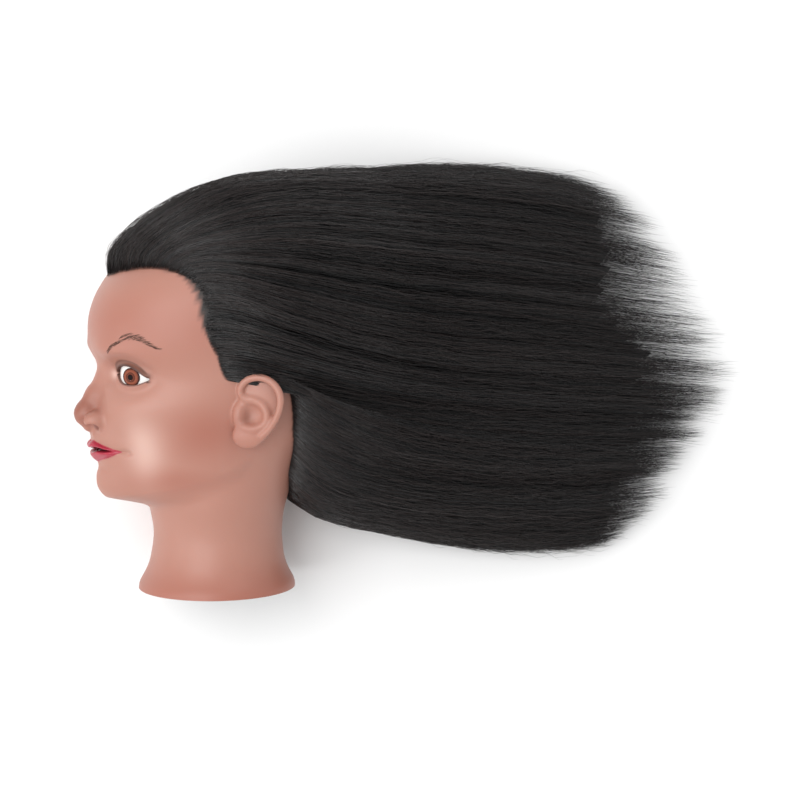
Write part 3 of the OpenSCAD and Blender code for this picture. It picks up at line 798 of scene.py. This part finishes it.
def paintMasks(verts):  # (lip, liner with painted shade in the lid crease, cheek rouge with painted shade), (dark of the mouth gap and nostrils with painted shade, painted shade, painted highlight) and amounts of painted hair shadow on the skin above the hairline
    x, y, z = verts.T
    side = np.abs(y)
    centre = through(headShape["widestX"], z)
    front = centre - through(headShape["faceFront"], z)
    reach = np.where(x < centre, front, through(headShape["skullBack"], z) - centre)
    turn = np.degrees(np.arctan2(side / through(headShape["halfWidth"], z), (x - centre) / reach))
    frontal = ease((turn - 120) / 20)
    upper, gap, lower = lipCurves(side)
    width = lips["half"]
    edge = np.minimum(upper + 0.3 - z, z - lower + 0.3)
    lip = ease(edge / 0.8 + 0.5) * ease((width + 0.6 - side) / 1.2) * frontal * (x < -62)
    # dark red in the mouth gap: partly the mouth's own paint, partly painted shade in the groove between
    # the lips
    mouth = bell(z - gap, 1.3) * ease((18 - side) / 8) * frontal * (x < -62)
    liner, shade, light = np.zeros(len(x)), np.zeros(len(x)), np.zeros(len(x))
    for s in (-1, 1):
        front, across, up, outward = eyeAxes(s)
        q = inAxes(verts, front, (across, up, outward))
        a, b, n = q.T
        top, bottom = lidCurves(a)
        near = (np.abs(a) < 24) & (np.abs(b) < 16) & (n > -14) & (y * s > 0)
        over = b - top
        under = bottom - b
        inSpan = ease((eye["half"] + 1.2 - np.abs(a - 0.4)) / 2.4)
        wing = mix(1.8, 2.2, ease((a + 6) / 14)) * mix(1, 0.6, ease((a - 11) / 6))
        underLine = 0.75 * ease((1.5 - under) / 0.9) * (under > -3)
        line = np.maximum(ease((wing - over) / 0.8) * (over > -3), underLine) * inSpan
        foldAt = eye["fold"] - 0.9 * ease((np.abs(a) - 8) / 8)
        # the lid crease line is partly a painted line and partly painted shade in the fold of the lid
        crease = 0.6 * bell(over - foldAt, 0.8) * ease((18 - np.abs(a)) / 5)
        liner = np.maximum(liner, np.where(near, np.maximum(line, crease), 0))
        soft = 0.9 * ease((eye["fold"] + 2 - over) / 4) * ease((over + 1) / 2) * ease((20 - np.abs(a)) / 7)
        soft = np.maximum(soft, 0.22 * bell(over - 7, 4) * ease((22 - np.abs(a)) / 9))
        shade = np.maximum(shade, np.where(near, soft, 0))
        corner = bell(a + 18.5, 3.0) * bell(b + 1.5, 3.2)
        light = np.maximum(light, np.where(near, 0.6 * corner, 0))
    # painted shade inside the nostril hollows
    inside = ellipsoid(np.stack([x, side, z], -1), *nose["nostril"])
    nostril = 0.85 * ease((0.8 - inside) / 1.6) * (turn > 150)
    # cheek rouge near the ear, the paint's own colour
    blush = 0.8 * bell(turn - 108, 17) * bell(z - 117, 19)
    # painted shade: a darker nose, forehead and base of the neck
    blush = np.maximum(blush, bell(side, 13) * bell(z - 131, 13) * (x < -80))
    blush = np.maximum(blush, 0.6 * bell(z - 190, 24) * ease((turn - 95) / 20))
    blush = np.maximum(blush, 0.85 * bell(z, 20))
    light = np.maximum(light, 0.55 * bell(turn - 138, 10) * bell(z - 106, 20))
    # painted shade: a darker band along the jaw
    blush = np.maximum(blush, 0.6 * bell(turn - 128, 26) * bell(z - 84, 9))
    cx, cz = ear["centre"]
    earDark = bell(x - cx + 7, 6) * bell(z - cz + 6, 6) * ease((74 - side) / 5) * (side > 60)
    shade = np.maximum(shade, 0.45 * earDark)
    shade = np.maximum(shade, 0.4 * bell(side, 12) * bell(z - 131, 11) * (x < -80))
    # painted shadow of the hair: the skin above the hairline is darkened nearly to black, except on the
    # ear
    hairAt = through(hairline["height"], turn)
    slope = (through(hairline["height"], turn + 0.5) - through(hairline["height"], turn - 0.5)) / 1.4
    onEar = (side > 71) & (z < 161) & (z > 104) & (np.abs(x - cx) < 24)
    scalp = np.where(onEar, 0, ease(((z - hairAt) / np.hypot(1, slope) - 0.5) / 2.0))
    dark = np.maximum(mouth, nostril)
    return np.stack([lip, liner, blush], -1), np.stack([dark, shade, light], -1), scalp


def setColors(obj, name, rgb):
    layer = obj.data.color_attributes.new(name, "FLOAT_COLOR", "POINT")
    values = np.concatenate([rgb, np.ones((len(rgb), 1))], 1)
    layer.data.foreach_set("color", values.astype(np.float32).ravel())


lipColors = (0.46, 0.030, 0.060, 1), (0.30, 0.016, 0.036, 1)


def buildSkinTone(nodes, links, inlet, outlet):
    where = nodes.new("ShaderNodeTexCoord").outputs["Object"]
    cloud = noiseNode(nodes, links, 22, 4, where)
    tone = mixColor(nodes, links, cloud.outputs["Fac"], (0.44, 0.212, 0.162, 1), (0.405, 0.190, 0.142, 1))
    paint = nodes.new("ShaderNodeSeparateColor")
    links.new(inlet.outputs["Makeup"], paint.inputs[0])
    deep = nodes.new("ShaderNodeSeparateColor")
    links.new(inlet.outputs["Shade"], deep.inputs[0])
    streaks = noiseNode(nodes, links, 260, 2, where)
    lipTone = mixColor(nodes, links, streaks.outputs["Fac"], lipColors[0], lipColors[1])
    # cheek rouge together with painted shade on the nose, forehead, jaw and neck base
    blushAmount = nodes.new("ShaderNodeMath")
    blushAmount.operation = "MULTIPLY"
    links.new(paint.outputs["Blue"], blushAmount.inputs[0])
    blushAmount.inputs[1].default_value = 0.7
    tone = mixColor(nodes, links, blushAmount.outputs[0], tone, (0.33, 0.095, 0.06, 1))
    # painted shade round the eyes, in the ear bowls and on the nose
    tone = mixColor(nodes, links, deep.outputs["Green"], tone, (0.15, 0.052, 0.030, 1))
    # painted highlight at the inner eye corners and on the cheeks
    tone = mixColor(nodes, links, deep.outputs["Blue"], tone, (0.76, 0.53, 0.46, 1))
    tone = mixColor(nodes, links, paint.outputs["Green"], tone, (0.085, 0.032, 0.022, 1))
    tone = mixColor(nodes, links, paint.outputs["Red"], tone, lipTone)
    # dark red of the mouth gap, partly painted shade, and painted shade in the nostrils
    tone = mixColor(nodes, links, deep.outputs["Red"], tone, (0.085, 0.010, 0.011, 1))
    # painted shadow of the hair on the skin above the hairline
    tone = mixColor(nodes, links, inlet.outputs["Scalp"], tone, (0.02, 0.014, 0.012, 1))
    links.new(tone, outlet.inputs["Color"])
    gloss = nodes.new("ShaderNodeMapRange")
    links.new(paint.outputs["Red"], gloss.inputs["Value"])
    gloss.inputs["To Min"].default_value = 0.43
    gloss.inputs["To Max"].default_value = 0.26
    links.new(gloss.outputs["Result"], outlet.inputs["Roughness"])
    pores = noiseNode(nodes, links, 900, 2, where)
    bump = nodes.new("ShaderNodeBump")
    bump.inputs["Strength"].default_value = 0.12
    bump.inputs["Distance"].default_value = 0.0003
    links.new(pores.outputs["Fac"], bump.inputs["Height"])
    links.new(bump.outputs["Normal"], outlet.inputs["Normal"])


skinGroup = shaderGroup(
    "painted skin",
    [("Makeup", "NodeSocketColor", None), ("Shade", "NodeSocketColor", None),
     ("Scalp", "NodeSocketFloat", 0.0)],
    [("Color", "NodeSocketColor"), ("Roughness", "NodeSocketFloat"), ("Normal", "NodeSocketVector")],
    buildSkinTone)


def skinMaterial():
    mat = bpy.data.materials.new("painted vinyl skin")
    mat.use_nodes = True
    nodes, links = mat.node_tree.nodes, mat.node_tree.links
    group = nodes.new("ShaderNodeGroup")
    group.node_tree = skinGroup
    for label in ("Makeup", "Shade", "Scalp"):
        read = nodes.new("ShaderNodeAttribute")
        read.attribute_name = label.lower()
        links.new(read.outputs["Fac" if label == "Scalp" else "Color"], group.inputs[label])
    principled = nodes["Principled BSDF"]
    for label, socket in (("Color", "Base Color"), ("Roughness", "Roughness"), ("Normal", "Normal")):
        links.new(group.outputs[label], principled.inputs[socket])
    principled.inputs["Subsurface Weight"].default_value = 0.12
    principled.inputs["Subsurface Radius"].default_value = (1.0, 0.35, 0.2)
    principled.inputs["Subsurface Scale"].default_value = 0.004
    principled.inputs["Specular IOR Level"].default_value = 0.45
    return mat


headSkin.data.materials.clear()
headSkin.data.materials.append(skinMaterial())
makeup, shades, scalp = paintMasks(headVerts)
setColors(headSkin, "makeup", makeup)
setColors(headSkin, "shade", shades)
setColors(headSkin, "scalp", np.repeat(scalp[:, None], 3, 1))
print("painted skin", len(makeup))


iris = {"gaze": 36.5, "dip": 2.6, "radius": 6.2, "wide": 1.17}


def turned(name, profile, place, sides=64):  # profile is (radius, height) points
    ring = np.arange(sides) * 2 * math.pi / sides
    verts, faces = [], []
    for r, h in profile:
        verts += [place(r * math.cos(a), r * math.sin(a), h) for a in ring]
    for i in range(len(profile) - 1):
        for k in range(sides):
            j = (k + 1) % sides
            faces.append((i * sides + k, i * sides + j, (i + 1) * sides + j, (i + 1) * sides + k))
    faces.append(tuple(range(sides))[::-1])
    faces.append(tuple(range((len(profile) - 1) * sides, len(profile) * sides)))
    return meshObject(name, layDown(np.array(verts)), faces)


def capProfile(radius, reach, rise, base, rows=14):
    angles = np.linspace(math.asin(reach / radius), 0.0, rows)
    points = [(0.02, base), (reach, base)]
    points += [(max(radius * math.sin(a), 0.02), rise - radius * (1 - math.cos(a))) for a in angles]
    return points


def buildIris(nodes, links, inlet, outlet):
    ring = nodes.new("ShaderNodeSeparateColor")
    links.new(inlet.outputs["Polar"], ring.inputs[0])
    fibres = nodes.new("ShaderNodeCombineXYZ")
    links.new(ring.outputs["Green"], fibres.inputs[0])
    links.new(ring.outputs["Blue"], fibres.inputs[1])
    noise = noiseNode(nodes, links, 16, 3, fibres.outputs[0])
    ramp = nodes.new("ShaderNodeValToRGB")
    ramp.color_ramp.elements[0].position = 0.0
    ramp.color_ramp.elements[0].color = (0.006, 0.003, 0.003, 1)
    ramp.color_ramp.elements[1].position = 1.0
    ramp.color_ramp.elements[1].color = (0.035, 0.010, 0.008, 1)
    for place, color in ((0.30, (0.008, 0.003, 0.003, 1)), (0.36, (0.22, 0.055, 0.030, 1)),
                         (0.50, (0.10, 0.028, 0.018, 1)), (0.62, (0.36, 0.105, 0.055, 1)),
                         (0.80, (0.28, 0.075, 0.042, 1)), (0.90, (0.07, 0.020, 0.014, 1))):
        stop = ramp.color_ramp.elements.new(place)
        stop.color = color
    links.new(ring.outputs["Red"], ramp.inputs[0])
    dark = mixColor(nodes, links, 0.45, ramp.outputs[0], (0.01, 0.004, 0.003, 1))
    links.new(mixColor(nodes, links, noise.outputs["Fac"], ramp.outputs[0], dark), outlet.inputs["Color"])


irisGroup = shaderGroup(
    "iris rings", [("Polar", "NodeSocketColor", None)], [("Color", "NodeSocketColor")], buildIris)


def irisMaterial():
    mat = bpy.data.materials.new("brown iris")
    mat.use_nodes = True
    nodes, links = mat.node_tree.nodes, mat.node_tree.links
    group = nodes.new("ShaderNodeGroup")
    group.node_tree = irisGroup
    read = nodes.new("ShaderNodeAttribute")
    read.attribute_name = "polar"
    links.new(read.outputs["Color"], group.inputs["Polar"])
    links.new(group.outputs["Color"], nodes["Principled BSDF"].inputs["Base Color"])
    nodes["Principled BSDF"].inputs["Roughness"].default_value = 0.45
    nodes["Principled BSDF"].inputs["Specular IOR Level"].default_value = 0.12
    return mat


def corneaMaterial():
    mat = bpy.data.materials.new("clear eye lens")
    mat.use_nodes = True
    principled = mat.node_tree.nodes["Principled BSDF"]
    principled.inputs["Base Color"].default_value = (1, 1, 1, 1)
    principled.inputs["Roughness"].default_value = 0.03
    principled.inputs["IOR"].default_value = 1.03
    principled.inputs["Transmission Weight"].default_value = 1.0
    return mat


scleraMat = surfaceMaterial("glossy eye white", (0.86, 0.84, 0.82), (0.80, 0.76, 0.73), 120, 0.12, 0.05)
irisMat, corneaMat = irisMaterial(), corneaMaterial()


def makeEye(side, label):
    front, _, _, outward = eyeAxes(side)
    centre = front - outward * eye["ball"]
    gaze, dip = math.radians(iris["gaze"]), math.radians(iris["dip"])
    level = np.array([-math.cos(gaze), side * math.sin(gaze), 0])
    axis = level * math.cos(dip) - np.array([0, 0, math.sin(dip)])
    right = np.cross([0, 0, 1.0], axis)
    right /= np.linalg.norm(right)
    over = np.cross(axis, right)

    def place(a, b, n):
        return centre + right * a * iris["wide"] + over * b + axis * n

    def placeBall(a, b, n):
        r = np.cross([0, 0, 1.0], outward)
        return centre + r * a + np.array([0, 0, 1.0]) * b + outward * n

    ball = eye["ball"]
    whiteShape = capProfile(ball - 0.15, 17.0, ball - 0.15, 6.5, 20)
    discShape = capProfile(ball, iris["radius"], ball + 0.02, ball - 1.6, 14)
    lensShape = capProfile(11.5, iris["radius"] + 0.5, ball + 0.75, ball - 1.5, 12)
    white = turned("eye_white_%s_visual" % label, whiteShape, placeBall, 72)
    disc = turned("iris_%s_visual" % label, discShape, place, 64)
    lens = turned("cornea_%s_visual" % label, lensShape, place, 64)
    local = standUp(np.array([v.co for v in disc.data.vertices])) - centre
    a, b = local @ right / iris["wide"], local @ over
    away = np.maximum(np.hypot(a, b), 0.01)
    polar = np.stack([away / iris["radius"], a / away * 0.5 + 0.5, b / away * 0.5 + 0.5], -1)
    setColors(disc, "polar", polar)
    for obj, node, slot, mat in ((white, "eye_white_", "eye_white", scleraMat),
                                 (disc, "iris_", "iris_brown", irisMat),
                                 (lens, "cornea_", "clear_acrylic", corneaMat)):
        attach(obj, "head")
        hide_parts(node + label)
        obj.data.materials.append(mat)


makeEye(-1, "left")
makeEye(1, "right")
print("eyes")


brow = {  # height in mm along the brow, from its outer end at turn 129 to its inner end at turn 163
    "middle": [(129, 173), (133, 175.4), (137.5, 178.6), (142.5, 181.2), (147, 181.6),
               (152, 179.8), (157, 175.8), (163, 170)],
    "half": [(129, 0.4), (137, 1.3), (146, 2.2), (155, 2.2), (163, 1.2)], "strokes": 110, "width": 0.38}


def makeBrows():
    rng = np.random.default_rng(21)
    skinTree = BVHTree.FromPolygons(headVerts.tolist(), headFaces.tolist())
    paths, radii = [], []
    for side in (-1, 1):
        for i in range(brow["strokes"]):
            turn = mix(131.5, 163, (i + rng.random() * 0.8) / brow["strokes"])
            half = float(through(brow["half"], turn))
            level = float(through(brow["middle"], turn)) + half * rng.uniform(-1, 0.7)
            lean = mix(-0.6, 3.6, ease((turn - 136) / 13))
            reach = rng.uniform(2.8, 4.6)
            stroke = []
            for t in np.linspace(0, 1, 7):
                turnAt = turn - reach * t * mix(0.95, 0.6, ease((turn - 150) / 8)) * 0.95
                place, centre = plainHead(np.array(turnAt), np.array(level + lean * (t - 0.5 * t * t)))
                at = Vector((place[0] - 12, side * (place[1] + 6), place[2]))
                into = Vector((centre + 10, side * 20, place[2])) - at
                hit, normal, _, _ = skinTree.ray_cast(at, into.normalized())
                if hit is not None:
                    stroke.append(np.array(hit) - np.array(into.normalized()) * 0.08)
            if len(stroke) == 7:
                paths.append(stroke)
                radii.append(brow["width"] / 2 * np.array([0.5, 1, 1, 0.95, 0.85, 0.65, 0.3]))
    laidPaths = layDown(np.array(paths)) * 1000
    obj = strandMesh("brow_strokes", laidPaths, np.array(radii), rng.random(len(paths)) * 6)
    browMat = bpy.data.materials.new("brown brow paint")
    browMat.use_nodes = True
    principled = browMat.node_tree.nodes["Principled BSDF"]
    principled.inputs["Base Color"].default_value = (0.095, 0.040, 0.026, 1)
    principled.inputs["Roughness"].default_value = 0.55
    obj.data.materials.append(browMat)
    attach(obj, "head")


makeBrows()
print("brows")


def hairMaterial(name, color, roughness):
    mat = bpy.data.materials.new(name)
    mat.use_nodes = True
    principled = mat.node_tree.nodes["Principled BSDF"]
    principled.inputs["Base Color"].default_value = (*color, 1)
    principled.inputs["Roughness"].default_value = roughness
    principled.inputs["Specular IOR Level"].default_value = 0.6
    return mat


hairMats = [hairMaterial("black fibre cool", (0.006, 0.006, 0.007), 0.26),
            hairMaterial("black fibre", (0.010, 0.009, 0.009), 0.30),
            hairMaterial("black fibre warm", (0.026, 0.018, 0.017), 0.34)]

hairBulk = hairBody("hair_body", 0.30, 0.35, 0.40)
hairBulk.data.materials.append(
    surfaceMaterial("matted black hair", (0.006, 0.0055, 0.0055), (0.010, 0.008, 0.0075), 240, 0.5, 0.9))
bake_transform(hairBulk)
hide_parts("hair_front", "hair_crown", "hair_left_side", "hair_right_side", "hair_nape",
            "hair_drape", "hair_length_upper", "hair_length_middle", "hair_length_lower")

locks = {
    "top_hairs": {
        "pieces": 12, "count": 1000, "points": 34, "side": -1, "depths": (0.35, 1.0), "rootDepth": 80,
        "width": 0.40, "crinkleSize": 0.45, "tipCut": 0.9, "liftSize": 8, "spreadOut": 3.0},
    "under_hairs": {
        "pieces": 3, "count": 1000, "points": 30, "side": 1, "depths": (0.3, 1.0), "rootDepth": 60,
        "width": 0.42, "crinkleSize": 0.32, "tipCut": 1.0, "liftSize": 4, "spreadOut": 2.0},
    "edge_hairs": {
        "pieces": 2, "count": 1000, "points": 34, "side": -1, "depths": (0.5, 1.05), "rootDepth": 7,
        "width": 0.32, "crinkleSize": 0.3, "tipCut": 1.1, "liftSize": 8, "spreadOut": 2.0},
    "stray_hairs": {
        "pieces": 1, "count": 420, "points": 44, "side": -1, "depths": (0.95, 1.3), "rootDepth": 30,
        "width": 0.20, "crinkleSize": 1.0, "tipCut": 0.9, "liftSize": 9, "spreadOut": 5.0},
}

seed = 100
for label, lock in locks.items():
    for i in range(lock["pieces"]):
        seed += 1
        settings = {key: value for key, value in lock.items() if key != "pieces"}
        hairs, radii, roll = growHairs(seed=seed, **settings)
        obj = strandMesh("%s_%d" % (label, i + 1), hairs, radii, roll)
        obj.data.materials.append(hairMats[(seed * 2) % 3 if label != "stray_hairs" else 2])
        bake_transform(obj)
print("hair", seed - 100)


floorMesh = meshObject("floor", [(-4, -4, 0), (4, -4, 0), (4, 4, 0), (-4, 4, 0)], [(0, 1, 2, 3)], False)
floorMesh.data.materials.append(
    surfaceMaterial("white paper", (0.93, 0.93, 0.93), (0.92, 0.92, 0.92), 3, 0.75, 0.02))
print("floor")

world = bpy.data.worlds.new("soft studio")
bpy.context.scene.world = world
world.use_nodes = True
world.node_tree.nodes["Background"].inputs["Color"].default_value = (1, 1, 1, 1)
world.node_tree.nodes["Background"].inputs["Strength"].default_value = 0.78

lampTarget = (-0.1, 0, 0.05)
softBoxes = {
    "overhead softbox": {"at": (-0.62, -0.06, 1.25), "size": 0.95, "power": 9.5},
    "side softbox": {"at": (-1.05, -0.30, 0.55), "size": 0.5, "power": 1.5},
    "rim softbox": {"at": (0.5, 1.0, 0.9), "size": 0.8, "power": 3},
}
for name, box in softBoxes.items():
    lamp = bpy.data.lights.new(name, "AREA")
    lamp.energy = box["power"]
    lamp.size = box["size"]
    lampObj = bpy.data.objects.new(name, lamp)
    bpy.context.scene.collection.objects.link(lampObj)
    lampObj.location = box["at"]
    aim = Vector(lampTarget) - lampObj.location
    lampObj.rotation_euler = aim.to_track_quat("-Z", "Y").to_euler()

view = {"lens": 85, "target": (-0.017, -0.017, 0.076), "distance": 1.322, "tilt": math.radians(3)}
camera = bpy.data.cameras.new("camera")
camera.lens = view["lens"]
cameraObj = bpy.data.objects.new("camera", camera)
bpy.context.scene.collection.objects.link(cameraObj)
away = Vector((0, -math.sin(view["tilt"]), math.cos(view["tilt"]))) * view["distance"]
cameraObj.location = Vector(view["target"]) + away
cameraObj.rotation_euler = (view["tilt"], 0, 0)
bpy.context.scene.camera = cameraObj
bpy.context.scene.view_settings.view_transform = "Standard"
